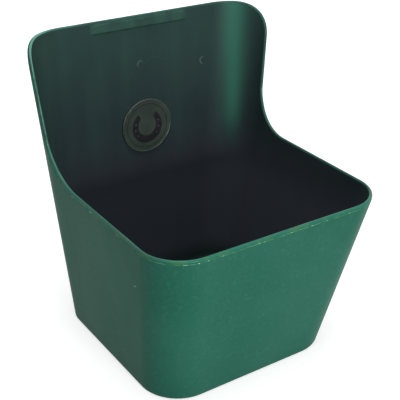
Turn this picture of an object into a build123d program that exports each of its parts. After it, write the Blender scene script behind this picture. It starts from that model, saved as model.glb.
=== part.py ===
from build123d import *
import math
import os

# Feed trough with a high back: one moulded shell and a round badge on its back wall.
# Millimetres. The front looks along -Y, the flat back along +Y, and the base stands on Z = 0.
# The origin is on the ground, under the middle of the tub.

# Plan of the tub. Every outline between base and top follows the same straight taper.
BASE_WIDTH = 272.0
BASE_DEPTH = 277.0
BASE_BACK_CORNER = 44.0
RIM_WIDTH = 330.0
RIM_DEPTH = 331.0
RIM_BACK_CORNER = 60.5
FRONT_CORNER = 55.0

# Heights of the rim at the front and of the high back's top edge.
RIM_HEIGHT = 236.0
TOP_HEIGHT = 413.5

# Side profile of the rim, seen along X.
RIM_RISE = 4.4
SWEEP_RADIUS = 61.0
WING_REACH = 55.5
WING_LEAN = 2.9
WING_RADIUS = 47.0

# Walls of one thickness, up to a rounded rim.
WALL = 5.0
FLOOR = 6.0
RIM_ROUND = 2.2
FOOT_ROUND = 3.5
INNER_FOOT_ROUND = 9.0

# Thickened panel inside the back wall, under the middle of the top edge.
PANEL_WIDTH = 142.0
PANEL_HEIGHT = 13.0
PANEL_TOP = 4.0
PANEL_PROUD = 1.6
PANEL_CORNER = 4.0

# Round badge on the inside of the back wall, a little off centre.
BADGE_X = 5.5
BADGE_Z = 255.5
BADGE_DIAMETER = 77.5
BADGE_THICKNESS = 2.4
BADGE_EDGE = 1.4
BADGE_RECESS = 0.8
BADGE_ROUND = 0.5
FACE_THICKNESS = 0.6
FACE_CLEARANCE = 0.15
PAD_THICKNESS = 0.8
PAD_DIAMETER = 70.0

# How far the cutting shapes run past the shell.
OVERRUN = 20.0

# The back stands this far behind the origin, which is half of the depth over the rounded rim.
BACK_Y = 165.2
INNER_BACK_Y = BACK_Y - WALL
# The outline is drawn this much too deep at the back, and the excess is trimmed off to a true plane.
BACK_TRIM = 0.02
FRONT_Y = BACK_Y - RIM_DEPTH


def tapered(at_base, at_rim, height):
    """A size that runs straight from its base value to its value at the rim's height, and on upwards."""
    return at_base + (at_rim - at_base) * height / RIM_HEIGHT


def plan_outline(height, inset, extra_depth=0.0):
    """Face of the tub's plan in the current sketch, moved inwards by inset and drawn extra_depth deeper at the back."""
    half_width = tapered(BASE_WIDTH, RIM_WIDTH, height) / 2 - inset
    back = BACK_Y - inset + extra_depth
    front = BACK_Y - tapered(BASE_DEPTH, RIM_DEPTH, height) + inset
    back_corner = tapered(BASE_BACK_CORNER, RIM_BACK_CORNER, height) - inset
    front_corner = FRONT_CORNER - inset
    with BuildLine() as outline:
        FilletPolyline(
            (-half_width, front),
            (half_width, front),
            (half_width, back),
            (-half_width, back),
            radius=[front_corner, front_corner, back_corner, back_corner],
            close=True,
        )
    make_face(outline.edges())


def rim_profile():
    """Closed side profile of the shell in Y and Z. Its upper line is the rim's crest."""
    rise_per_mm = RIM_RISE / RIM_DEPTH
    lean = math.tan(math.radians(WING_LEAN))
    middle_height = (RIM_HEIGHT + TOP_HEIGHT) / 2
    wing_y = BACK_Y - WING_REACH
    rim_at_origin = RIM_HEIGHT - rise_per_mm * FRONT_Y
    # The wing's edge, y = wing_y + lean * (z - middle_height), meets the rim, z = rim_at_origin + rise_per_mm * y
    crossing_y = (wing_y + lean * (rim_at_origin - middle_height)) / (1 - lean * rise_per_mm)
    crossing_z = rim_at_origin + rise_per_mm * crossing_y
    corner_y = wing_y + lean * (TOP_HEIGHT - middle_height)
    front_y = FRONT_Y - OVERRUN
    back_y = BACK_Y + OVERRUN
    with BuildLine() as outline:
        FilletPolyline(
            (front_y, RIM_HEIGHT - rise_per_mm * OVERRUN),
            (crossing_y, crossing_z),
            (corner_y, TOP_HEIGHT),
            (back_y, TOP_HEIGHT),
            (back_y, -OVERRUN),
            (front_y, -OVERRUN),
            radius=[0, SWEEP_RADIUS, WING_RADIUS, 0, 0, 0],
            close=True,
        )
    make_face(outline.edges())


def is_crest(face):
    """True for the faces that the rim's profile leaves on top of the walls."""
    normal = face.normal_at()
    faces_up = normal.Z > 0.02
    faces_out = normal.Y < 0.1
    return faces_up and faces_out and abs(normal.X) < 0.001 and face.center().Z > RIM_HEIGHT / 2


def is_crest_edge(edge):
    """True for the edges along the crest, and false for the short seams across it."""
    direction = edge.tangent_at(0.5)
    is_seam = abs(direction.X) > 0.999 and edge.length < RIM_WIDTH / 4
    return not is_seam


# The room inside the walls, rounded where it meets the floor.
with BuildPart() as cavity:
    with BuildSketch(Plane.XY.offset(FLOOR)):
        plan_outline(FLOOR, WALL)
    with BuildSketch(Plane.XY.offset(TOP_HEIGHT + OVERRUN)):
        plan_outline(TOP_HEIGHT + OVERRUN, WALL)
    loft(ruled=True)
    fillet(cavity.faces().sort_by(Axis.Z)[0].edges(), INNER_FOOT_ROUND)

with BuildPart() as trough_shell:
    with BuildSketch(Plane.XY):
        plan_outline(0, 0, BACK_TRIM)
    with BuildSketch(Plane.XY.offset(TOP_HEIGHT + OVERRUN)):
        plan_outline(TOP_HEIGHT + OVERRUN, 0, BACK_TRIM)
    loft(ruled=True)
    # The rim and the wings are one cut across the whole width.
    with BuildSketch(Plane.YZ):
        rim_profile()
    extrude(amount=RIM_WIDTH, both=True, mode=Mode.INTERSECT)
    fillet(trough_shell.faces().sort_by(Axis.Z)[0].edges(), FOOT_ROUND)
    add(cavity.part, mode=Mode.SUBTRACT)
    # Round both edges of the walls' crest, all along the rim.
    crest_faces = trough_shell.faces().filter_by(is_crest)
    crest_edges = crest_faces.edges().filter_by(is_crest_edge)
    fillet(crest_edges, RIM_ROUND)
    # The panel is moulded with the back wall, just below the round of the top edge.
    with BuildSketch(Plane.XZ.offset(-INNER_BACK_Y)):
        with Locations((0, TOP_HEIGHT - PANEL_TOP - PANEL_HEIGHT / 2)):
            RectangleRounded(PANEL_WIDTH, PANEL_HEIGHT, PANEL_CORNER)
    extrude(amount=PANEL_PROUD)
    # Trim the deeper drawn back to its true plane.
    split(bisect_by=Plane.XZ.offset(-BACK_Y), keep=Keep.TOP)

# The badge is built up towards the front from the wall: pad, plate, face.
with BuildPart() as badge_adhesive:
    with BuildSketch(Plane.XZ.offset(-INNER_BACK_Y)):
        with Locations((BADGE_X, BADGE_Z)):
            Circle(PAD_DIAMETER / 2)
    extrude(amount=PAD_THICKNESS)

plate_back = Plane.XZ.offset(PAD_THICKNESS - INNER_BACK_Y)
plate_radius = BADGE_DIAMETER / 2
face_radius = plate_radius - BADGE_EDGE
with BuildPart() as badge_plate:
    with BuildSketch(plate_back):
        with Locations((BADGE_X, BADGE_Z)):
            Circle(plate_radius)
    extrude(amount=BADGE_THICKNESS)
    with BuildSketch(plate_back.offset(BADGE_THICKNESS)):
        with Locations((BADGE_X, BADGE_Z)):
            Circle(face_radius)
    extrude(amount=-BADGE_RECESS, mode=Mode.SUBTRACT)
    front_edges = badge_plate.edges().group_by(Axis.Y)[0]
    fillet(front_edges, BADGE_ROUND)

with BuildPart() as badge_face:
    with BuildSketch(plate_back.offset(BADGE_THICKNESS - BADGE_RECESS)):
        with Locations((BADGE_X, BADGE_Z)):
            Circle(face_radius - FACE_CLEARANCE)
    extrude(amount=FACE_THICKNESS)

trough_shell.part.label = "trough_shell"
badge_adhesive.part.label = "badge_adhesive"
badge_plate.part.label = "badge_plate"
badge_face.part.label = "badge_face"

os.makedirs("parts", exist_ok=True)
export_step(trough_shell.part, "parts/trough_shell.step")
export_step(badge_adhesive.part, "parts/badge_adhesive.step")
export_step(badge_plate.part, "parts/badge_plate.step")
export_step(badge_face.part, "parts/badge_face.step")
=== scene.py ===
import math

import bpy
import numpy as np
from mathutils import Matrix, Vector, noise


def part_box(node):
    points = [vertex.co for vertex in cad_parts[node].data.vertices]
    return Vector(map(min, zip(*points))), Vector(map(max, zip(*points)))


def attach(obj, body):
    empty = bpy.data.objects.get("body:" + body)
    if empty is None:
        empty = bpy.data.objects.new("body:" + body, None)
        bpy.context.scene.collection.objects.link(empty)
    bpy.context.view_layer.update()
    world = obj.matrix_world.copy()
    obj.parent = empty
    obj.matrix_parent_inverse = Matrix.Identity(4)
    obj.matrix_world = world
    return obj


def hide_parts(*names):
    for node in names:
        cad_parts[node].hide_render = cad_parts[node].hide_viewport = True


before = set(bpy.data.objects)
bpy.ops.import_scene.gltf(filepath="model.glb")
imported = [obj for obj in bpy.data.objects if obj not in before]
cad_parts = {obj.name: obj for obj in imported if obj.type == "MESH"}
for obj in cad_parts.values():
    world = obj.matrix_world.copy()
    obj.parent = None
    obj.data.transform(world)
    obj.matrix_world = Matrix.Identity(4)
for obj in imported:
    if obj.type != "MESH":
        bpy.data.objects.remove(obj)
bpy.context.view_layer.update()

# Millimetres to metres. The shell's sizes are the driving dimensions of the solid part.
MM = 0.001

BASE_WIDTH = 272.0
BASE_DEPTH = 277.0
BASE_BACK_CORNER = 44.0
RIM_WIDTH = 330.0
RIM_DEPTH = 331.0
RIM_BACK_CORNER = 60.5
FRONT_CORNER = 55.0
RIM_HEIGHT = 236.0
TOP_HEIGHT = 413.5
RIM_RISE = 4.4
SWEEP_RADIUS = 61.0
WING_REACH = 55.5
WING_LEAN = 2.9
WING_RADIUS = 47.0
WALL = 5.0
FLOOR = 6.0
FOOT_ROUND = 3.5
INNER_FOOT_ROUND = 9.0
PANEL_WIDTH = 142.0
PANEL_HEIGHT = 13.0
PANEL_TOP = 4.0
PANEL_PROUD = 1.6
BADGE_X = 5.5
BADGE_Z = 255.5

# The flat back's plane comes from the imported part.
BACK_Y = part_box("trough_shell")[1].y / MM
FRONT_Y = BACK_Y - RIM_DEPTH

# Mesh density: columns from the middle of the front to the middle of the back, and rows up a wall.
COLUMNS = 240
WALL_ROWS = 64
CREST_ROWS = 10
FOOT_ROWS = 5
FLAT_LOOPS = (0.97, 0.9, 0.8, 0.65, 0.5, 0.35, 0.2, 0.08)
# Points of the dense curves that the rows are spaced along: level rim, wing's edge and a stretch of the plan.
LEVEL_STEPS = 100
UPRIGHT_STEPS = 60
PLAN_STEPS = 200
LEAST_SPACING = 0.2
# Rounds in which a point's height and place settle on each other.
SETTLE_ROUNDS = 4

# Depth below the crest, and inset, of the outside rows that follow the rim. The inset ends in a fine ledge,
# where the mould's halves met.
CREST_DEPTH = WALL / 2
LEDGE_DEPTH = 4.7
LEDGE_INSET = 0.34
OUTER_BAND = (
    (CREST_DEPTH, 0.45),
    (3.2, 0.44),
    (4.0, 0.42),
    (LEDGE_DEPTH, LEDGE_INSET),
    (4.95, 0.06),
    (5.3, 0.0),
    (6.0, 0.0),
    (7.6, 0.0),
    (10.0, 0.0),
    (13.0, 0.0),
    (17.0, 0.0),
)
# Depths of the inside rows that follow the rim. They leave sharp steps above and below the panel.
INNER_DEPTHS = (CREST_DEPTH, 3.1, 3.7, 4.3, 6.0, 8.0, 10.0, 12.2, 14.4, 16.4, 17.0, 18.0)

# Angle round the back corner from which the edge is followed by plan share and no longer by side profile.
LEVEL_ANGLE = math.radians(50)


def tapered(at_base, at_rim, height):
    """A size that runs straight from its base value to its value at the rim's height, and on upwards."""
    return at_base + (at_rim - at_base) * height / RIM_HEIGHT


def plan(height, inset):
    """Half width, front, back, front corner and back corner of the tub's plan at a height."""
    half = tapered(BASE_WIDTH, RIM_WIDTH, height) / 2 - inset
    back = BACK_Y - inset
    front = BACK_Y - tapered(BASE_DEPTH, RIM_DEPTH, height) + inset
    front_corner = FRONT_CORNER - inset
    back_corner = tapered(BASE_BACK_CORNER, RIM_BACK_CORNER, height) - inset
    return half, front, back, front_corner, back_corner


def plan_lengths(height, inset):
    """Lengths of the right half of the plan: front, front corner, side, back corner, back."""
    half, front, back, front_corner, back_corner = plan(height, inset)
    side = back - front - front_corner - back_corner
    quarter = math.pi / 2
    return half - front_corner, front_corner * quarter, side, back_corner * quarter, half - back_corner


def plan_point(height, inset, share):
    """Point on the plan's right half. Share 0 is the middle of the front and 1 that of the back."""
    half, front, back, front_corner, back_corner = plan(height, inset)
    lengths = plan_lengths(height, inset)
    along = share * sum(lengths)
    if along <= lengths[0]:
        return along, front
    along -= lengths[0]
    if along <= lengths[1]:
        angle = along / front_corner
        x = half - front_corner + front_corner * math.sin(angle)
        return x, front + front_corner - front_corner * math.cos(angle)
    along -= lengths[1]
    if along <= lengths[2]:
        return half, front + front_corner + along
    along -= lengths[2]
    if along <= lengths[3]:
        angle = along / back_corner
        x = half - back_corner + back_corner * math.cos(angle)
        return x, back - back_corner + back_corner * math.sin(angle)
    return half - back_corner - (along - lengths[3]), back


def plan_share(height, inset, x, y):
    """Share of the point of the plan that is nearest to x, y."""
    half, front, back, front_corner, back_corner = plan(height, inset)
    lengths = plan_lengths(height, inset)
    total = sum(lengths)
    in_x = x - (half - front_corner)
    in_y = front + front_corner - y
    if in_x > 0 and in_y > 0:
        return (lengths[0] + front_corner * math.atan2(in_x, in_y)) / total
    out_x = x - (half - back_corner)
    out_y = y - (back - back_corner)
    if out_x > 0 and out_y > 0:
        return (sum(lengths[:3]) + back_corner * math.atan2(out_y, out_x)) / total
    if in_y > 0:
        return x / total
    if out_y > 0:
        return (total - x) / total
    return (sum(lengths[:2]) - in_y) / total


def plan_side(height, inset, y):
    """X of the plan's side at a height and a y, in the back corner's round too."""
    half, front, back, front_corner, back_corner = plan(height, inset)
    past = y - (back - back_corner)
    if past <= 0:
        return half
    return half - back_corner + math.sqrt(max(back_corner**2 - past**2, 0.0))


def round_corner(before, corner, after, radius, step):
    """Points of the arc that rounds a corner of a path in Y and Z."""
    to_before = (Vector(before) - Vector(corner)).normalized()
    to_after = (Vector(after) - Vector(corner)).normalized()
    half_angle = to_before.angle(to_after) / 2
    centre = Vector(corner) + (to_before + to_after).normalized() * radius / math.sin(half_angle)
    start = Vector(corner) + to_before * radius / math.tan(half_angle) - centre
    end = Vector(corner) + to_after * radius / math.tan(half_angle) - centre
    turn = start.angle(end)
    count = max(2, math.ceil(turn * radius / step))
    points = []
    for i in range(count + 1):
        blend = i / count
        point = start * math.sin((1 - blend) * turn) + end * math.sin(blend * turn)
        points.append(centre + point / math.sin(turn))
    return points


def side_profile(depth, step=1.0):
    """The rim's side view in Y and Z at a depth below the crest, from the front to the wing's round."""
    rise = RIM_RISE / RIM_DEPTH
    lean = math.tan(math.radians(WING_LEAN))
    middle_height = (RIM_HEIGHT + TOP_HEIGHT) / 2
    wing_y = BACK_Y - WING_REACH + depth
    rim_z = RIM_HEIGHT - depth
    top_z = TOP_HEIGHT - depth
    crossing_y = (wing_y + lean * (rim_z - middle_height - rise * FRONT_Y)) / (1 - lean * rise)
    crossing = (crossing_y, rim_z + rise * (crossing_y - FRONT_Y))
    corner = (wing_y + lean * (top_z - middle_height), top_z)
    front = (FRONT_Y, rim_z)
    sweep = round_corner(front, crossing, corner, SWEEP_RADIUS + depth, step)
    wing = round_corner(crossing, corner, (BACK_Y + RIM_DEPTH, top_z), WING_RADIUS - depth, step)
    level = [Vector(front).lerp(sweep[0], i / LEVEL_STEPS) for i in range(LEVEL_STEPS)]
    upright = [sweep[-1].lerp(wing[0], i / UPRIGHT_STEPS) for i in range(1, UPRIGHT_STEPS)]
    return level + sweep + upright + wing


def settle(inset, share, height, height_at):
    """Point of the shell at a plan share whose height follows from its own y."""
    for _ in range(SETTLE_ROUNDS):
        y = plan_point(height, inset, share)[1]
        height = height_at(y)
    return (*plan_point(height, inset, share), height)


def rim_curve(depth, inset):
    """Right half of the shell's edge curve at a depth below the crest, from front middle to back middle."""
    rise = RIM_RISE / RIM_DEPTH
    rim_z = RIM_HEIGHT - depth
    top_z = TOP_HEIGHT - depth
    profile = side_profile(depth)
    round_y = [y for y, z in profile if z > top_z - WING_RADIUS / 2]
    round_z = [z for y, z in profile if z > top_z - WING_RADIUS / 2]
    lengths = plan_lengths(rim_z, inset)
    corner_share = sum(lengths[:2]) / sum(lengths)
    points = []
    for i in range(PLAN_STEPS):
        share = corner_share * i / PLAN_STEPS
        points.append(settle(inset, share, rim_z, lambda y: rim_z + rise * (y - FRONT_Y)))
    for y, z in profile:
        half, front, back, front_corner, back_corner = plan(z, inset)
        on_side = y < back - back_corner * (1 - math.sin(LEVEL_ANGLE))
        apart = y > points[-1][1] + LEAST_SPACING or z > points[-1][2] + LEAST_SPACING
        if on_side and apart:
            points.append((plan_side(z, inset, y), y, z))
    x, y, z = points[-1]
    first = plan_share(z, inset, x, y)
    for i in range(1, PLAN_STEPS + 1):
        share = first + (1 - first) * i / PLAN_STEPS
        points.append(settle(inset, share, top_z, lambda y: float(np.interp(y, round_y, round_z))))
    return np.array(points)


def even_points(curve, count):
    """Count + 1 points, evenly spaced along a dense curve."""
    steps = np.linalg.norm(np.diff(curve, axis=0), axis=1)
    along = np.concatenate([[0.0], np.cumsum(steps)])
    wanted = np.linspace(0, along[-1], count + 1)
    return np.stack([np.interp(wanted, along, curve[:, axis]) for axis in range(3)], axis=1)


def nearest_points(points, curve):
    """For each point, the nearest place on a dense curve's segments."""
    starts = curve[:-1]
    spans = curve[1:] - starts
    squares = np.maximum((spans**2).sum(axis=1), 1e-12)
    found = []
    for point in points:
        shares = np.clip(((point - starts) * spans).sum(axis=1) / squares, 0, 1)
        places = starts + spans * shares[:, None]
        found.append(places[((places - point) ** 2).sum(axis=1).argmin()])
    return np.array(found)


def shares_of(points, inset):
    """The plan shares of a row of points."""
    return np.array([plan_share(z, inset, x, y) for x, y, z in points])


def base_shares(rim_row):
    """Base shares for the columns of a rim row: corner meets corner, and the wing's columns fan out."""
    steps = np.linalg.norm(np.diff(rim_row, axis=0), axis=1)
    along = np.concatenate([[0.0], np.cumsum(steps)])
    corner = plan(RIM_HEIGHT, 0.0)
    in_back_corner = [y > plan(z, 0.0)[2] - plan(z, 0.0)[4] for x, y, z in rim_row]
    places = [
        np.interp(corner[0] - corner[3], rim_row[:COLUMNS // 4, 0], along[:COLUMNS // 4]),
        np.interp(corner[1] + corner[3], rim_row[:, 1], along),
        along[in_back_corner.index(True)],
    ]
    base = np.cumsum(plan_lengths(0.0, 0.0)) / sum(plan_lengths(0.0, 0.0))
    return np.interp(along, [0, *places, along[-1]], [0, *base[:3], 1.0])


def wall_rows(top_row, inset, low_z, low_shares):
    """Rows of a wall from just below its top row down to a level row."""
    top_shares = shares_of(top_row, inset)
    rows = []
    for i in range(1, WALL_ROWS + 1):
        blend = i / WALL_ROWS
        heights = top_row[:, 2] * (1 - blend) + low_z * blend
        shares = top_shares * (1 - blend) + low_shares * blend
        row = [(*plan_point(z, inset, share), z) for z, share in zip(heights, shares)]
        rows.append(np.array(row))
    return rows


def foot_rows(inset, low_z, radius, shares):
    """Rows of the round between a wall and a level face, and then the loops that close that face."""
    rows = []
    for i in range(1, FOOT_ROWS + 1):
        angle = math.pi / 2 * i / FOOT_ROWS
        z = low_z + radius * (1 - math.sin(angle))
        shift = inset + radius * (1 - math.cos(angle))
        rows.append(np.array([(*plan_point(z, shift, share), z) for share in shares]))
    centre = np.array([0.0, BACK_Y - BASE_DEPTH / 2, low_z])
    for scale in FLAT_LOOPS:
        rows.append(centre + (rows[FOOT_ROWS - 1] - centre) * scale)
    return rows


def crest_rows(outer, inner):
    """Rows of the round crest, from the outer edge row over to the inner one."""
    profile = np.array([(0.0, y, z) for y, z in side_profile(CREST_DEPTH)])
    turns = np.gradient(profile, axis=0)
    ups = np.stack([turns[:, 0], -turns[:, 2], turns[:, 1]], axis=1)
    middle = (outer + inner) / 2
    rows = []
    lifts = []
    for point, reach in zip(middle, outer - middle):
        place = ((profile[:, 1:] - point[1:]) ** 2).sum(axis=1).argmin()
        side = reach / np.linalg.norm(reach)
        up = ups[place] - side * (ups[place] @ side)
        lifts.append(CREST_DEPTH * up / np.linalg.norm(up))
    for i in range(1, CREST_ROWS):
        angle = math.pi * i / CREST_ROWS
        rows.append(middle + (outer - middle) * math.cos(angle) + np.array(lifts) * math.sin(angle))
    return rows


# Points closer than this to the panel's lower edge stay on the wall, so that its step lies between two rows.
PANEL_STEP_MARGIN = 0.3


def add_panel(rows):
    """Moves the rows' points under the middle of the top edge forward, to the face of the moulded panel."""
    panel_y = BACK_Y - WALL - PANEL_PROUD
    top_z = TOP_HEIGHT - PANEL_TOP
    for row in rows:
        in_width = np.abs(row[:, 0]) < PANEL_WIDTH / 2
        in_height = (row[:, 2] < top_z) & (row[:, 2] > top_z - PANEL_HEIGHT + PANEL_STEP_MARGIN)
        covered = in_width & in_height & (row[:, 1] > panel_y)
        row[covered, 1] = panel_y


def shell_rows():
    """The shell's right half: rows down the outside, over the crest, and down the inside."""
    outer_edge = even_points(rim_curve(*OUTER_BAND[0]), COLUMNS)
    low_shares = base_shares(outer_edge)
    outer_band = [outer_edge]
    for depth, inset in OUTER_BAND[1:]:
        outer_band.append(nearest_points(outer_band[-1], rim_curve(depth, inset)))
    inner_band = [nearest_points(outer_edge, rim_curve(INNER_DEPTHS[0], WALL))]
    for depth in INNER_DEPTHS[1:]:
        inner_band.append(nearest_points(inner_band[-1], rim_curve(depth, WALL)))
    outside = outer_band + wall_rows(outer_band[-1], 0.0, FOOT_ROUND, low_shares)
    outside += foot_rows(0.0, 0.0, FOOT_ROUND, low_shares)
    add_panel(inner_band)
    inside = inner_band + wall_rows(inner_band[-1], WALL, FLOOR + INNER_FOOT_ROUND, low_shares)
    inside += foot_rows(WALL, FLOOR, INNER_FOOT_ROUND, low_shares)
    return outside, crest_rows(outer_edge, inner_band[0]), inside


def full_loop(row):
    """A closed loop from a right half row and its mirror image."""
    mirrored = row[-2:0:-1] * np.array([-1.0, 1.0, 1.0])
    return np.concatenate([row, mirrored])


def mesh_object(name, vertices, faces, material):
    """A smooth mesh object in metres."""
    mesh = bpy.data.meshes.new(name)
    mesh.from_pydata([tuple(v) for v in vertices], [], faces)
    mesh.update()
    mesh.polygons.foreach_set("use_smooth", [True] * len(mesh.polygons))
    piece = bpy.data.objects.new(name, mesh)
    bpy.context.scene.collection.objects.link(piece)
    mesh.materials.append(material)
    return piece


# Painted highlight down the inside of the back corners: the way its middle faces at the top, in degrees from
# the front, the degrees that it turns per millimetre down, its spread, and the left corner's share of it.
CORNER_HIGHLIGHT_FACING = 31.0
CORNER_HIGHLIGHT_TURN = 0.07
CORNER_HIGHLIGHT_SPREAD = 13.0
LEFT_CORNER_HIGHLIGHT_SHARE = 0.05
# How far over the crest the inside's look starts, the crest rows that the brow takes, and the lip's rows,
# counted back from the crest's last one.
INSIDE_START = 1 / 3
BROW_CREST_ROWS = 2
LIP_FIRST_ROW = 5
LIP_LAST_ROW = 2


def build_shell(material):
    """The moulded shell as one closed mesh, with masks for its inside, its rim's parts and the painted
    highlight down its back corners.
    """
    outside, crest, inside = shell_rows()
    rows = outside[::-1] + crest + inside
    loops = [full_loop(row) for row in rows]
    size = len(loops[0])
    vertices = np.concatenate(loops)
    faces = []
    for level in range(len(loops) - 1):
        low = level * size
        high = low + size
        for i in range(size):
            after = (i + 1) % size
            faces.append((low + i, low + after, high + after, high + i))
    first_centre = len(vertices)
    vertices = np.concatenate([vertices, [loops[0].mean(axis=0), loops[-1].mean(axis=0)]])
    last = (len(loops) - 1) * size
    for i in range(size):
        after = (i + 1) % size
        faces.append((after, i, first_centre))
        faces.append((last + i, last + after, first_centre + 1))
    piece = mesh_object("shell_moulding", vertices * MM, faces, material)
    first_crest = len(outside)
    last_crest = first_crest + CREST_ROWS - 1
    ledge = first_crest - sum(depth <= LEDGE_DEPTH for depth, inset in OUTER_BAND)
    names = ("inside", "crest", "brow", "ledge", "lip", "corner")
    masks = {name: np.zeros(len(vertices), np.float32) for name in names}
    for level in range(len(loops)):
        row = slice(level * size, (level + 1) * size)
        over = (level - first_crest) / CREST_ROWS
        masks["inside"][row] = min(max((over - INSIDE_START) / (1 - INSIDE_START), 0.0), 1.0)
        masks["crest"][row] = 1.0 if first_crest <= level < last_crest else 0.0
        masks["brow"][row] = 1.0 if ledge < level <= first_crest + BROW_CREST_ROWS else 0.0
        masks["ledge"][row] = 1.0 if ledge - 1 <= level <= ledge else 0.0
        on_lip = last_crest - LIP_FIRST_ROW <= level <= last_crest - LIP_LAST_ROW
        masks["lip"][row] = 1.0 if on_lip else 0.0
    masks["inside"][-1] = 1.0
    normals = np.zeros(len(vertices) * 3, np.float32)
    piece.data.vertex_normals.foreach_get("vector", normals)
    normals = normals.reshape(-1, 3)
    # The corner mask is a painted highlight: it is strongest where the inside of the back corners faces a set
    # way.
    turned = np.degrees(np.arctan2(np.abs(normals[:, 0]), -normals[:, 1]))
    behind = vertices[:, 1] > BACK_Y - 2 * RIM_BACK_CORNER
    share = np.where(vertices[:, 0] < 0, LEFT_CORNER_HIGHLIGHT_SHARE, 1.0)
    facing = CORNER_HIGHLIGHT_FACING + CORNER_HIGHLIGHT_TURN * (TOP_HEIGHT - vertices[:, 2])
    masks["corner"] = (np.exp(-((turned - facing) / CORNER_HIGHLIGHT_SPREAD) ** 2) * behind * share).astype(np.float32)
    for name, mask in masks.items():
        piece.data.attributes.new(name, "FLOAT", "POINT").data.foreach_set("value", mask)
    return piece


# A spot's full strength ends at this share of its radius.
SPOT_CORE = 0.4
# A curved scratch's unevenness in millimetres with its scale, and the radii from which it shows and is full.
ARC_SHAKE = (1.6, 120.0)
ARC_SHOWS = 1.7
ARC_FULL = 0.8


class Nodes:
    """A material's node tree, with short calls for the nodes that the finishes share."""

    def __init__(self, name):
        self.material = bpy.data.materials.new(name)
        self.material.use_nodes = True
        self.tree = self.material.node_tree
        self.shader = self.tree.nodes["Principled BSDF"]
        self.place = self.add("ShaderNodeTexCoord").outputs["Object"]

    def add(self, kind, **settings):
        node = self.tree.nodes.new(kind)
        for key, value in settings.items():
            setattr(node, key, value)
        return node

    def link(self, source, target):
        self.tree.links.new(source, target)

    def noise(self, scale, detail=3.0, roughness=0.5, stretch=(1, 1, 1)):
        mapping = self.add("ShaderNodeMapping")
        mapping.inputs["Scale"].default_value = stretch
        self.link(self.place, mapping.inputs["Vector"])
        texture = self.add("ShaderNodeTexNoise")
        texture.inputs["Scale"].default_value = scale
        texture.inputs["Detail"].default_value = detail
        texture.inputs["Roughness"].default_value = roughness
        self.link(mapping.outputs["Vector"], texture.inputs["Vector"])
        return texture.outputs["Fac"]

    def axis(self, name):
        """One coordinate of the shaded place, in metres."""
        split = self.add("ShaderNodeSeparateXYZ")
        self.link(self.place, split.inputs["Vector"])
        return split.outputs[name]

    def distance(self, centre, shake=0.0, scale=400.0):
        """Distance in metres from a point given in millimetres, with its outline shaken by noise."""
        node = self.add("ShaderNodeVectorMath", operation="DISTANCE")
        self.link(self.place, node.inputs[0])
        node.inputs[1].default_value = Vector(centre) * MM
        shaken = self.maths("MULTIPLY", self.maths("SUBTRACT", self.noise(scale), 0.5), shake * MM)
        return self.maths("ADD", node.outputs["Value"], shaken)

    def spot(self, centre, radius, shake=0.0):
        """Mask of a small soft-edged mark round a point, in millimetres."""
        return self.ramp(self.distance(centre, shake), radius * MM, radius * MM * SPOT_CORE)

    def arc(self, centre, radius, open_side, width=0.9):
        """Mask of a thin curved scratch round a point, in millimetres. It fades out towards its open side."""
        off = self.maths("SUBTRACT", self.distance(centre, *ARC_SHAKE), radius * MM)
        line = self.ramp(self.maths("ABSOLUTE", off, 0.0), width * MM, 0.0)
        kept = Vector(centre) - Vector(open_side) * radius
        near = self.ramp(self.distance(kept), radius * ARC_SHOWS * MM, radius * ARC_FULL * MM)
        return self.product(line, near)

    def strongest(self, masks):
        """The largest of several masks."""
        total = masks[0]
        for mask in masks[1:]:
            total = self.maths("MAXIMUM", total, mask)
        return total

    def product(self, *factors):
        """The product of masks and plain numbers."""
        total = factors[0]
        for factor in factors[1:]:
            total = self.maths("MULTIPLY", total, factor)
        return total

    def patches(self, pattern, cover):
        """Mask of a noise pattern, which fades in between the two values that cover starts with."""
        return self.ramp(self.noise(*pattern), *cover)

    def attribute(self, name):
        return self.add("ShaderNodeAttribute", attribute_name=name).outputs["Fac"]

    def ramp(self, source, low, high, from_value=0.0, to_value=1.0):
        node = self.add("ShaderNodeMapRange", interpolation_type="SMOOTHSTEP")
        limits = {"From Min": low, "From Max": high, "To Min": from_value, "To Max": to_value}
        for key, value in limits.items():
            node.inputs[key].default_value = value
        self.link(source, node.inputs["Value"])
        return node.outputs["Result"]

    def maths(self, operation, first, second):
        node = self.add("ShaderNodeMath", operation=operation)
        for value, socket in ((first, node.inputs[0]), (second, node.inputs[1])):
            if isinstance(value, (int, float)):
                socket.default_value = value
            else:
                self.link(value, socket)
        return node.outputs["Value"]

    def mix(self, factor, first, second):
        node = self.add("ShaderNodeMix", data_type="RGBA")
        for value, socket in ((first, node.inputs[6]), (second, node.inputs[7])):
            if isinstance(value, tuple):
                socket.default_value = (*value, 1.0)
            else:
                self.link(value, socket)
        self.link(factor, node.inputs["Factor"])
        return node.outputs[2]

    def bump(self, height, distance, strength=1.0, below=None):
        node = self.add("ShaderNodeBump")
        node.inputs["Strength"].default_value = strength
        node.inputs["Distance"].default_value = distance
        self.link(height, node.inputs["Height"])
        if below is not None:
            self.link(below, node.inputs["Normal"])
        return node.outputs["Normal"]


# Colours as linear red, green and blue.
OUTSIDE_GREEN = (0.018, 0.115, 0.076)
OUTSIDE_PALE = (0.026, 0.131, 0.090)
OUTSIDE_SPECK = (0.012, 0.070, 0.054)
OUTSIDE_FLECK = (0.045, 0.185, 0.130)
# The inside's colours are painted shade, darker than the outside's; their change with height is painted light
# and shade, greener at the top and lighter low on the walls, where the lamps reach less.
INSIDE_TOP = (0.0160, 0.0340, 0.0305)
INSIDE_MIDDLE = (0.0168, 0.0258, 0.0290)
INSIDE_LOW_PAINTED_LIGHT = (0.056, 0.061, 0.079)
INSIDE_FLOOR = (0.019, 0.030, 0.030)
INSIDE_BLOTCH = (0.012, 0.022, 0.024)
# Painted highlight down the inside of the back corners.
CORNER_HIGHLIGHT_GREEN = (0.028, 0.112, 0.079)
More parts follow.
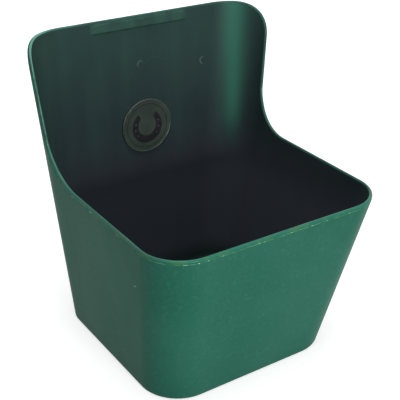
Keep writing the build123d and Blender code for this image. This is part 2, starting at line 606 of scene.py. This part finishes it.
# The crest's lighter greens are wear and partly a painted highlight along the rim's top.
CREST_GREEN = (0.022, 0.140, 0.098)
CREST_OLIVE = (0.042, 0.150, 0.080)
# Painted shade on the crest's high part and right side.
CREST_PAINTED_SHADE = (0.018, 0.042, 0.036)
CREST_GREY = (0.040, 0.100, 0.082)
BROW_GREEN = (0.018, 0.128, 0.084)
BROW_OLIVE = (0.040, 0.150, 0.076)
# The ledge's pale line is wear of the trimmed flash and partly a painted highlight.
LEDGE_PALE_AND_HIGHLIGHT = (0.090, 0.265, 0.155)
# The inner lip's pale line is wear and partly a painted highlight.
LIP_PALE_AND_HIGHLIGHT = (0.110, 0.310, 0.235)
SCRATCH_PALE = (0.080, 0.130, 0.120)
SCRAPED_GREEN = (0.031, 0.070, 0.056)
PANEL_GREEN = (0.024, 0.064, 0.048)
FLASH_PALE = (0.420, 0.600, 0.340)
SCUFF_PALE = (0.045, 0.080, 0.072)
SPECK_WHITE = (0.620, 0.680, 0.640)
FLASH_GREEN = (0.16, 0.36, 0.20)
PRINT_DARK = (0.007, 0.007, 0.010)
PRINT_DARK_WORN = (0.012, 0.012, 0.015)
PRINT_GREY = (0.040, 0.054, 0.044)
PRINT_GREY_WORN = (0.055, 0.070, 0.058)
PAD_GREY = (0.04, 0.04, 0.04)
PAD_PALE = (0.06, 0.06, 0.06)
EDGE_GREY = (0.040, 0.054, 0.045)
EDGE_PALE = (0.055, 0.072, 0.060)
FILM_GREEN = (0.021, 0.031, 0.027)
FILM_PALE = (0.034, 0.053, 0.038)
FLOOR_GREY = (0.60, 0.60, 0.60)
FLOOR_PALE = (0.64, 0.64, 0.64)
# Pigmented plastic with a haze: what it reflects head-on takes the plastic's own green.
GLOSS_TINT = (0.45, 0.92, 0.80)
GLOSS_OUTSIDE = 0.04
GLOSS_INSIDE = 0.17
GLOSS_CREST = 0.12
# How much smoother the handled crest is than the walls.
CREST_POLISH = 0.25

# Marks seen in the photograph, in millimetres.
WHITE_SPECK = (-157.7, -88.0, 175.7)
SPECK_RADIUS = 1.3
SPECK_SHAKE = 0.5
WALL_SCUFFS = (((-159.4, -89.5, 189.2), 2.2), ((-159.0, -89.4, 192.5), 1.8))
SCUFF_SHAKE = 1.5
SCUFF_SHARE = 0.5
BACK_WALL_Y = BACK_Y - WALL
# Centre, radius and open side of each curved scratch on the back wall: the plain ones, and the faint ones.
SCRATCH_WIDTH = 1.3
SCRATCH_SHARE = 0.9
FAINT_SHARE = 0.25
SCRATCHES = (
    ((-1.0, BACK_WALL_Y, 345.5), 4.5, (0.7, 0, -0.7)),
    ((101.2, BACK_WALL_Y, 333.9), 5.0, (1, 0, 0)),
)
FAINT_SCRATCHES = (
    ((20.0, BACK_WALL_Y, 330.0), 22.0, (0, 0, -1)),
    ((-20.0, BACK_WALL_Y, 336.0), 5.0, (-0.7, 0, 0.7)),
    ((-17.0, BACK_WALL_Y, 198.0), 13.0, (0, 0, -1)),
)


# Noise patterns: scale, detail, roughness and stretch.
PORE_NOISE = (420.0, 3.0, 0.7)
STREAK_NOISE = (26.0, 4.0, 0.6, (1, 1, 0.10))
WAVE_NOISE = (16.0, 2.0)
# A pattern and its cover: the two values between which it fades in, and the least and the most of it.
CLOUDS = ((7.0, 4.0), (0.35, 0.70))
PORES = (PORE_NOISE, (0.50, 0.68, 0.0, 0.40))
FLECKS = ((180.0, 2.0), (0.56, 0.72, 0.0, 0.25))
BLOTCHES = ((19.0, 4.0, 0.6, (1, 1, 0.55)), (0.42, 0.70, 0.0, 0.45))
STREAKS = (STREAK_NOISE, (0.40, 0.75, 0.0, 0.20))
SCRAPES = ((55.0, 4.0), (0.32, 0.62, 0.25, 1.0))
CREST_PATCHES = ((48.0, 3.0), (0.50, 0.66))
BROW_PATCHES = ((48.0, 3.0), (0.48, 0.62))
CREST_WEAR_AND_HIGHLIGHT = ((60.0, 3.0), (0.30, 0.65, 0.35, 1.0))
LEDGE_WEAR_AND_HIGHLIGHT = ((110.0,), (0.35, 0.60, 0.15, 0.9))
LIP_WEAR_AND_HIGHLIGHT = ((35.0,), (0.35, 0.65, 0.35, 0.85))
# The roughness of the streaks runs from the third value to the fourth.
DULL_STREAKS = (STREAK_NOISE, (0.2, 0.8, 0.42, 0.50))

# Heights in metres between which one inside colour turns into the next, or a mark fades in.
# The inside colours' change with height is painted light and shade.
FLOOR_TO_LOW = (0.012, 0.050)
LOW_TO_MIDDLE = (0.14, 0.26)
MIDDLE_TO_TOP = (0.26, 0.39)
BLOTCH_HEIGHTS = (0.20, 0.28, 0.15, 1.0)
# Heights over which the painted corner highlight fades in.
CORNER_HIGHLIGHT_HEIGHTS = (0.18, 0.28)
# The scraped colour of the panel, in metres: how far below its middle it fades, how far along it reaches, and
# the unevenness of that reach in millimetres with its scale.
PANEL_MIDDLE = TOP_HEIGHT - PANEL_TOP - PANEL_HEIGHT / 2
SCRAPED_BELOW = (0.010, 0.004)
SCRAPED_REACH = (0.078, 0.066)
SCRAPED_SHAKE = (14.0, 60.0)
# Stretches of the rim, in metres of height or X: its grey left side, its high part and right side, where the
# crest has painted shade, and the left wing, where the lip stays pale with wear and painted highlight.
GREY_SIDE = (-0.160, -0.145, 0.7, 0.0)
CREST_SHADE_HEIGHTS = (0.25, 0.31)
CREST_SHADE_SIDE = (0.13, 0.16, 0.0, 0.8)
LIP_UNDER_CREST_SHADE = (0.0, 1.0, 0.5, 0.10)
WING_SIDE = (-0.15, -0.05, 1.0, 0.0)
WING_HEIGHTS = (0.24, 0.29)
# Depth in metres and strength of the fine grain and of the slow waves in the moulded face.
GRAIN = (0.00005, 0.6)
WAVES = (0.0007, 0.35)


def outside_colour(n):
    """Hazy green with clouds, pores and flecks, and the marks on the left wall."""
    colour = n.mix(n.patches(*CLOUDS), OUTSIDE_GREEN, OUTSIDE_PALE)
    colour = n.mix(n.patches(*PORES), colour, OUTSIDE_SPECK)
    colour = n.mix(n.patches(*FLECKS), colour, OUTSIDE_FLECK)
    scuffs = n.strongest([n.spot(centre, radius, SCUFF_SHAKE) for centre, radius in WALL_SCUFFS])
    colour = n.mix(n.product(scuffs, SCUFF_SHARE), colour, SCUFF_PALE)
    return n.mix(n.spot(WHITE_SPECK, SPECK_RADIUS, SPECK_SHAKE), colour, SPECK_WHITE)


def panel_scrapes(n, height):
    """Mask of the scraped, lighter face of the panel under the top edge."""
    middle = PANEL_MIDDLE * MM
    low_end = n.ramp(height, middle - SCRAPED_BELOW[0], middle - SCRAPED_BELOW[1])
    along = n.distance((0.0, BACK_WALL_Y, PANEL_MIDDLE), *SCRAPED_SHAKE)
    return n.product(low_end, n.ramp(along, *SCRAPED_REACH), n.patches(*SCRAPES))


def inside_colour(n):
    """Inside colour: darker as painted shade, with painted light and shade that change with height, and
    blotches, streaks, scratches and a painted highlight down the back corners.
    """
    height = n.axis("Z")
    # Painted light and shade: the inside's colour changes with height, lighter low on the walls, where the
    # lamps reach less.
    colour = n.mix(n.ramp(height, *FLOOR_TO_LOW), INSIDE_FLOOR, INSIDE_LOW_PAINTED_LIGHT)
    colour = n.mix(n.ramp(height, *LOW_TO_MIDDLE), colour, INSIDE_MIDDLE)
    colour = n.mix(n.ramp(height, *MIDDLE_TO_TOP), colour, INSIDE_TOP)
    blotches = n.product(n.patches(*BLOTCHES), n.ramp(height, *BLOTCH_HEIGHTS))
    colour = n.mix(blotches, colour, INSIDE_BLOTCH)
    colour = n.mix(n.patches(*STREAKS), colour, SCRAPED_GREEN)
    # Painted highlight: a green highlight painted down the inside of the back corners.
    corner_highlight = n.product(n.attribute("corner"), n.ramp(height, *CORNER_HIGHLIGHT_HEIGHTS))
    colour = n.mix(corner_highlight, colour, CORNER_HIGHLIGHT_GREEN)
    faint = n.strongest([n.arc(*scratch) for scratch in FAINT_SCRATCHES])
    colour = n.mix(n.product(faint, FAINT_SHARE), colour, SCUFF_PALE)
    plain = n.strongest([n.arc(*scratch, SCRATCH_WIDTH) for scratch in SCRATCHES])
    colour = n.mix(n.product(plain, SCRATCH_SHARE), colour, SCRATCH_PALE)
    return n.mix(panel_scrapes(n, height), colour, PANEL_GREEN)


def rim_colour(n, body):
    """The body's colour with the brow, the crest, the ledge and the inner lip over it."""
    height = n.axis("Z")
    across = n.axis("X")
    crest = n.mix(n.patches(*CREST_PATCHES), CREST_GREEN, CREST_OLIVE)
    crest = n.mix(n.ramp(across, *GREY_SIDE), crest, CREST_GREY)
    # Painted shade: the crest darkens on its high part and right side.
    crest_shade = n.maths("MAXIMUM", n.ramp(height, *CREST_SHADE_HEIGHTS), n.ramp(across, *CREST_SHADE_SIDE))
    crest = n.mix(crest_shade, crest, CREST_PAINTED_SHADE)
    brow = n.mix(n.patches(*BROW_PATCHES), BROW_GREEN, BROW_OLIVE)
    body = n.mix(n.attribute("brow"), body, brow)
    # The lighter crest is wear and partly a painted highlight along the rim's top.
    body = n.mix(n.product(n.attribute("crest"), n.patches(*CREST_WEAR_AND_HIGHLIGHT)), body, crest)
    # The pale ledge line is wear of the trimmed flash and partly a painted highlight of the light it catches.
    body = n.mix(n.product(n.attribute("ledge"), n.patches(*LEDGE_WEAR_AND_HIGHLIGHT)), body, LEDGE_PALE_AND_HIGHLIGHT)
    left_wing = n.product(n.ramp(across, *WING_SIDE), n.ramp(height, *WING_HEIGHTS))
    kept = n.maths("MAXIMUM", n.ramp(crest_shade, *LIP_UNDER_CREST_SHADE), left_wing)
    # The pale inner lip is wear and partly a painted highlight along the rounded edge; it fades where the
    # crest has painted shade.
    lip_wear_and_highlight = n.product(n.patches(*LIP_WEAR_AND_HIGHLIGHT), kept)
    return n.mix(n.product(n.attribute("lip"), lip_wear_and_highlight), body, LIP_PALE_AND_HIGHLIGHT)


def shell_material():
    """Moulded green plastic: hazy outside, darker inside as painted shade, lighter along the rim's edges with
    wear and painted highlight.
    """
    n = Nodes("shell_green_moulded")
    body = n.mix(n.attribute("inside"), outside_colour(n), inside_colour(n))
    n.link(rim_colour(n, body), n.shader.inputs["Base Color"])
    polish = n.ramp(n.attribute("crest"), 0.0, 1.0, 0.0, CREST_POLISH)
    n.link(n.maths("SUBTRACT", n.patches(*DULL_STREAKS), polish), n.shader.inputs["Roughness"])
    n.shader.inputs["Specular Tint"].default_value = (*GLOSS_TINT, 1.0)
    gloss = n.ramp(n.attribute("inside"), 0.0, 1.0, GLOSS_OUTSIDE, GLOSS_INSIDE)
    gloss = n.maths("ADD", gloss, n.product(n.attribute("crest"), GLOSS_CREST))
    n.link(gloss, n.shader.inputs["Specular IOR Level"])
    grain = n.bump(n.noise(*PORE_NOISE), *GRAIN)
    n.link(n.bump(n.noise(*WAVE_NOISE), *WAVES, grain), n.shader.inputs["Normal"])
    return n.material


# A small part's finish: its colour patches, its change of roughness and how much, and its grain in metres.
SMALL_DETAIL = 4.0
SMALL_COVER = (0.35, 0.65)
SMALL_DULL_NOISE = (150.0,)
SMALL_DULL_COVER = (0.2, 0.8)
SMALL_DULLING = 0.12
SMALL_GRAIN_NOISE = (1200.0,)
SMALL_GRAIN = 0.00004


def simple_material(name, base, pale, roughness, scale=60.0, gloss=0.5):
    """Small part's finish with a little colour variation and grain."""
    n = Nodes(name)
    n.shader.inputs["Specular IOR Level"].default_value = gloss
    patches = n.patches((scale, SMALL_DETAIL), SMALL_COVER)
    n.link(n.mix(patches, base, pale), n.shader.inputs["Base Color"])
    dull = n.patches(SMALL_DULL_NOISE, (*SMALL_DULL_COVER, roughness, roughness + SMALL_DULLING))
    n.link(dull, n.shader.inputs["Roughness"])
    n.link(n.bump(n.noise(*SMALL_GRAIN_NOISE), SMALL_GRAIN), n.shader.inputs["Normal"])
    return n.material


def set_material(node, material):
    """Gives a carried-over node its finish."""
    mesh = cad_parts[node].data
    mesh.materials.clear()
    mesh.materials.append(material)


# Trimmed flash along the ledge: a place beside each crumb, in x and y, and its length.
FLASH_CRUMBS = (
    ((-135, -160), 5.5),
    ((-119, -166), 2.2),
    ((-107, -166), 1.8),
    ((-88, -166), 1.2),
    ((-38, -166), 2.6),
    ((-31, -166), 2.0),
    ((-4, -166), 2.2),
    ((8, -166), 1.8),
    ((39, -166), 3.6),
    ((62, -166), 1.3),
    ((97, -166), 2.8),
    ((-166, 4), 7.0),
    ((-166, 52), 3.0),
    ((-166, -60), 1.6),
    ((166, -20), 2.4),
)
CRUMB_RINGS = 6
CRUMB_SIDES = 8
CRUMB_HEIGHT = 0.8
CRUMB_SINK = 0.3
CRUMB_FLATNESS = 0.7
CRUMB_UNEVENNESS = 0.35
# Steps in the noise from ring to ring and from side to side.
CRUMB_NOISE_STEPS = (1.7, 2.3)


def build_flash(material):
    """Crumbs of trimmed flash along the ledge, as one mesh of small uneven lozenges."""
    ledge = rim_curve(LEDGE_DEPTH, LEDGE_INSET)
    vertices = []
    faces = []
    for (x, y), length in FLASH_CRUMBS:
        side = math.copysign(1.0, x)
        nearest = ((ledge[:, :2] - (abs(x), y)) ** 2).sum(axis=1).argmin()
        here = ledge[nearest] * (side, 1, 1)
        along = Vector((ledge[nearest + 2] - ledge[nearest - 2]) * (side, 1, 1)).normalized()
        out = along.cross(Vector((0, 0, 1))).normalized() * side
        up = out.cross(along)
        centre = Vector(here) - out * CRUMB_SINK
        first = len(vertices)
        for i in range(1, CRUMB_RINGS):
            turn = math.pi * i / CRUMB_RINGS
            for j in range(CRUMB_SIDES):
                angle = 2 * math.pi * j / CRUMB_SIDES
                depth = i * CRUMB_NOISE_STEPS[0] + j * CRUMB_NOISE_STEPS[1]
                uneven = 1 + CRUMB_UNEVENNESS * noise.noise(Vector((x, y, depth)))
                reach = CRUMB_HEIGHT * math.sin(turn) * uneven
                ring = out * math.cos(angle) * reach + up * math.sin(angle) * reach * CRUMB_FLATNESS
                vertices.append(centre + along * (-math.cos(turn) * length / 2) + ring)
        ends = (len(vertices), len(vertices) + 1)
        vertices += [centre - along * length / 2, centre + along * length / 2]
        for j in range(CRUMB_SIDES):
            after = (j + 1) % CRUMB_SIDES
            last = first + (CRUMB_RINGS - 2) * CRUMB_SIDES
            faces.append((ends[0], first + after, first + j))
            faces.append((ends[1], last + j, last + after))
            for i in range(CRUMB_RINGS - 2):
                low = first + i * CRUMB_SIDES
                high = low + CRUMB_SIDES
                faces.append((low + j, low + after, high + after, high + j))
    return mesh_object("rim_flash_crumbs", [v * MM for v in vertices], faces, material)


def flat_piece(name, outlines, front_y, thickness, material):
    """A thin plate in the back wall's plane: closed strips between outer and inner outlines, in x and z."""
    vertices = []
    faces = []
    for outer, inner, closed in outlines:
        count = len(outer)
        first = len(vertices)
        back_y = front_y + thickness
        for ring, y in ((outer, front_y), (inner, front_y), (inner, back_y), (outer, back_y)):
            vertices += [Vector((x, y, z)) * MM for x, z in ring]
        for i in range(count if closed else count - 1):
            after = (i + 1) % count
            for layer in range(4):
                low = first + layer * count
                high = first + (layer + 1) % 4 * count
                faces.append((low + i, high + i, high + after, low + after))
        if not closed:
            faces.append(tuple(first + layer * count for layer in range(3, -1, -1)))
            faces.append(tuple(first + layer * count + count - 1 for layer in range(4)))
    piece = mesh_object(name, vertices, faces, material)
    piece.data.polygons.foreach_set("use_smooth", [False] * len(piece.data.polygons))
    return piece


# The badge's own generic design: a horseshoe with nail heads inside a thin ring.
SHOE_CENTRE_Z = BADGE_Z - 1.0
SHOE_RADIUS = 19.0
SHOE_WIDTH = 10.5
SHOE_OPENING = 38.0
SHOE_STEPS = 48
# The heels are narrower than the toe by this share, and the upper half is longer, and a little narrower.
HEEL_TAPER = 0.30
HEEL_STRETCH = 1.10
HEEL_NARROWING = 0.06
NAIL_RADIUS = 1.05
NAIL_ANGLES = (-128, -100, -72, 72, 100, 128)
RING_RADIUS = 32.5
RING_WIDTH = 0.9
PRINT_THICKNESS = 0.10
# The nail heads: their front and thickness in print thicknesses, and the share of their radius left open.
NAIL_FRONT = 1.4
NAIL_THICKNESS = 0.8
NAIL_OPENING = 0.15
RING_STEPS = 96
NAIL_STEPS = 16


def circle(x, z, radius, steps):
    """Points of a circle in the back wall's plane."""
    angles = [2 * math.pi * i / steps for i in range(steps)]
    return [(x + radius * math.cos(a), z + radius * math.sin(a)) for a in angles]


def build_badge_design(dark, pale):
    """Horseshoe, its nail heads and the ring, printed proud of the badge's face."""
    face_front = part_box("badge_face")[0].y / MM
    outer = []
    inner = []
    for i in range(SHOE_STEPS + 1):
        angle = math.radians(SHOE_OPENING + (360 - 2 * SHOE_OPENING) * i / SHOE_STEPS)
        heel = abs(2 * i / SHOE_STEPS - 1)
        width = SHOE_WIDTH * (1 - HEEL_TAPER * heel**3)
        stretch = HEEL_STRETCH if math.cos(angle) > 0 else 1.0
        for ring, radius in ((outer, SHOE_RADIUS + width / 2), (inner, SHOE_RADIUS - width / 2)):
            x = BADGE_X + radius * math.sin(angle) * (1 - HEEL_NARROWING * (stretch - 1))
            ring.append((x, SHOE_CENTRE_Z + radius * math.cos(angle) * stretch))
    front = face_front - PRINT_THICKNESS
    shoe = flat_piece("badge_horseshoe", [(outer, inner, False)], front, PRINT_THICKNESS, dark)
    ring_outer = circle(BADGE_X, BADGE_Z, RING_RADIUS, RING_STEPS)
    ring_inner = circle(BADGE_X, BADGE_Z, RING_RADIUS - RING_WIDTH, RING_STEPS)
    ring = flat_piece("badge_ring", [(ring_outer, ring_inner, True)], front, PRINT_THICKNESS, dark)
    nails = []
    for degrees in NAIL_ANGLES:
        angle = math.radians(degrees)
        x = BADGE_X + SHOE_RADIUS * math.sin(angle)
        z = SHOE_CENTRE_Z + SHOE_RADIUS * math.cos(angle)
        head = circle(x, z, NAIL_RADIUS, NAIL_STEPS)
        opening = circle(x, z, NAIL_RADIUS * NAIL_OPENING, NAIL_STEPS)
        nails.append((head, opening, True))
    nail_front = face_front - PRINT_THICKNESS * NAIL_FRONT
    heads = flat_piece("badge_nail_heads", nails, nail_front, PRINT_THICKNESS * NAIL_THICKNESS, pale)
    return shoe, ring, heads


shell = build_shell(shell_material())
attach(shell, "root")
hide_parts("trough_shell")
flash = build_flash(simple_material("flash_plastic", FLASH_PALE, FLASH_GREEN, roughness=0.5, scale=300.0))
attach(flash, "root")
print_dark = simple_material(
    "badge_print_dark", PRINT_DARK, PRINT_DARK_WORN, roughness=0.5, scale=120.0, gloss=0.15
)
print_pale = simple_material(
    "badge_print_pale", PRINT_GREY, PRINT_GREY_WORN, roughness=0.5, scale=120.0, gloss=0.2
)
for piece in build_badge_design(print_dark, print_pale):
    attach(piece, "root")
foam = simple_material("pad_foam", PAD_GREY, PAD_PALE, roughness=0.8)
set_material("badge_adhesive", foam)
edge_plastic = simple_material("badge_rim_plastic", EDGE_GREY, EDGE_PALE, roughness=0.20)
set_material("badge_plate", edge_plastic)
film = simple_material("badge_film", FILM_GREEN, FILM_PALE, roughness=0.42, scale=26.0, gloss=0.2)
set_material("badge_face", film)

# Camera solved from the photograph, whose frame is 400 pixels wide. Angles are in degrees, distances in
# metres, and the lens and the sensor in millimetres.
CAMERA_AZIMUTH = -33.57
CAMERA_ELEVATION = 26.81
CAMERA_ROLL = 0.15
CAMERA_DISTANCE = 1.206
CAMERA_TARGET = Vector((0.0181, BACK_Y * MM - 0.1235, 0.1835))
CAMERA_LENS = 80.28
SENSOR_WIDTH = 36.0
VIEW_REACH = 50.0


def add_camera():
    """The camera that was fitted to the photograph."""
    azimuth = math.radians(CAMERA_AZIMUTH)
    elevation = math.radians(CAMERA_ELEVATION)
    back = Vector((
        math.sin(azimuth) * math.cos(elevation),
        -math.cos(azimuth) * math.cos(elevation),
        math.sin(elevation),
    ))
    data = bpy.data.cameras.new("photo_camera")
    data.lens = CAMERA_LENS
    data.sensor_width = SENSOR_WIDTH
    data.clip_end = VIEW_REACH
    camera = bpy.data.objects.new("photo_camera", data)
    turn = back.to_track_quat("Z", "Y").to_matrix().to_4x4()
    roll = Matrix.Rotation(math.radians(CAMERA_ROLL), 4, "Z")
    camera.matrix_world = Matrix.Translation(CAMERA_TARGET + back * CAMERA_DISTANCE) @ turn @ roll
    bpy.context.scene.collection.objects.link(camera)
    bpy.context.scene.camera = camera


def add_lamp(name, place, target, width, height, power):
    """A soft rectangular lamp, aimed at a point."""
    data = bpy.data.lights.new(name, "AREA")
    data.shape = "RECTANGLE"
    data.size = width
    data.size_y = height
    data.energy = power
    lamp = bpy.data.objects.new(name, data)
    direction = Vector(place) - Vector(target)
    turn = direction.to_track_quat("Z", "Y").to_matrix().to_4x4()
    lamp.matrix_world = Matrix.Translation(Vector(place)) @ turn
    bpy.context.scene.collection.objects.link(lamp)


def shown_or_mirrored(tree):
    """1 for rays from the camera, from gloss and through glass, and 0 for the rays that light the object."""
    path = tree.nodes.new("ShaderNodeLightPath")
    total = path.outputs["Is Camera Ray"]
    for name in ("Is Glossy Ray", "Is Transmission Ray"):
        larger = tree.nodes.new("ShaderNodeMath")
        larger.operation = "MAXIMUM"
        tree.links.new(total, larger.inputs[0])
        tree.links.new(path.outputs[name], larger.inputs[1])
        total = larger.outputs["Value"]
    return total


def add_world(strength):
    """Dim grey surroundings that show white to the camera and in reflections."""
    world = bpy.data.worlds.new("studio")
    world.use_nodes = True
    tree = world.node_tree
    dim = tree.nodes["Background"]
    dim.inputs["Color"].default_value = (1, 1, 1, 1)
    dim.inputs["Strength"].default_value = strength
    white = tree.nodes.new("ShaderNodeBackground")
    white.inputs["Color"].default_value = (1, 1, 1, 1)
    white.inputs["Strength"].default_value = 1.0
    mix = tree.nodes.new("ShaderNodeMixShader")
    tree.links.new(shown_or_mirrored(tree), mix.inputs["Fac"])
    tree.links.new(dim.outputs["Background"], mix.inputs[1])
    tree.links.new(white.outputs["Background"], mix.inputs[2])
    tree.links.new(mix.outputs["Shader"], tree.nodes["World Output"].inputs["Surface"])
    bpy.context.scene.world = world


# Metres from the middle to the floor's edge, the floor's roughness and the scale of its change of tone.
FLOOR_REACH = 6.0
FLOOR_ROUGHNESS = 0.9
FLOOR_TONE_SCALE = 2.0
# The floor's lift: the distances from the object between which it grows, and its least and most.
FLOOR_LIFT = (0.3, 1.8, 0.66, 0.96)
# Height in metres of the point that the key lamp goes round.
LAMP_PIVOT_HEIGHT = 0.2


def add_floor():
    """A plain pale floor, lifted to white for the camera, where the object's shadow stays."""
    n = Nodes("studio_floor")
    n.link(n.mix(n.noise(FLOOR_TONE_SCALE), FLOOR_GREY, FLOOR_PALE), n.shader.inputs["Base Color"])
    n.shader.inputs["Roughness"].default_value = FLOOR_ROUGHNESS
    n.shader.inputs["Emission Color"].default_value = (1, 1, 1, 1)
    lift = n.ramp(n.distance((0, 0, 0)), *FLOOR_LIFT)
    n.link(n.maths("MULTIPLY", lift, shown_or_mirrored(n.tree)), n.shader.inputs["Emission Strength"])
    corners = [(x * FLOOR_REACH, y * FLOOR_REACH, 0) for x, y in ((-1, -1), (1, -1), (1, 1), (-1, 1))]
    mesh_object("floor", corners, [(0, 1, 2, 3)], n.material)


def lamp_place(azimuth, elevation, distance):
    """A place seen from the object, where azimuth 0 is in front of it and a negative one is to its left."""
    turn = math.radians(azimuth)
    rise = math.radians(elevation)
    flat = distance * math.cos(rise)
    return flat * math.sin(turn), -flat * math.cos(turn), distance * math.sin(rise) + LAMP_PIVOT_HEIGHT


add_floor()
add_world(strength=0.16)
key_place = lamp_place(azimuth=-2, elevation=5, distance=2.4)
add_lamp("key", key_place, target=(0, 0, 0.22), width=0.7, height=0.5, power=36.0)
add_lamp("top", (-0.1, -0.3, 2.4), target=(0, 0, 0.2), width=1.6, height=1.6, power=46.0)
add_camera()

bpy.context.scene.view_settings.view_transform = "Standard"
